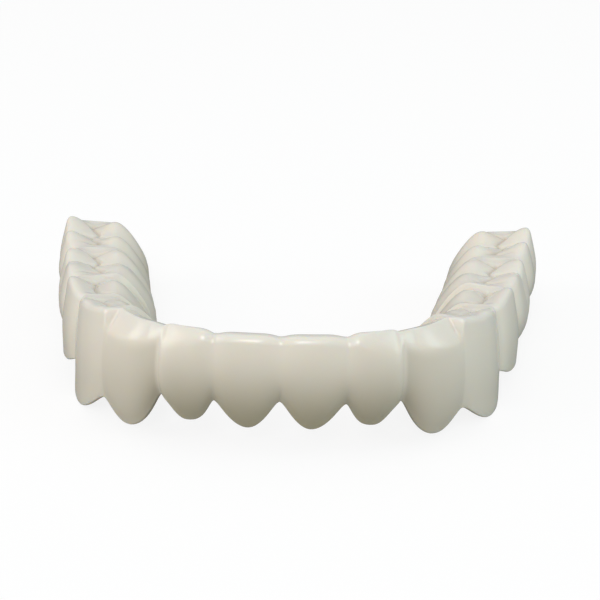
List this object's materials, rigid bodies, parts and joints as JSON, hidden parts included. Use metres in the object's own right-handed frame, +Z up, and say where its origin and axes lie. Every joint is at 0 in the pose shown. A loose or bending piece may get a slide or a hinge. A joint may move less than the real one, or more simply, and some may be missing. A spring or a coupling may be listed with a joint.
{
  "type": "removable lower tooth veneer",
  "caption": "U-shaped clip-on veneer for the lower teeth: a thin hollow row of moulded tooth crowns with a scalloped gum edge, worn over the wearer's own teeth.",
  "frame": {"origin": "on the surface that the veneer stands on, under the middle of its box", "axes": "+X to the viewer's right across the arch, -Y out of the front teeth, +Z up from the gum edge to the biting edge"},
  "size_m": [0.054, 0.0428, 0.0112],
  "materials": {
    "resin": "smooth slightly translucent ivory resin with a soft gloss"
  },
  "bodies": {
    "root": {"veneer_shell": "resin"}
  },
  "joints": []
}
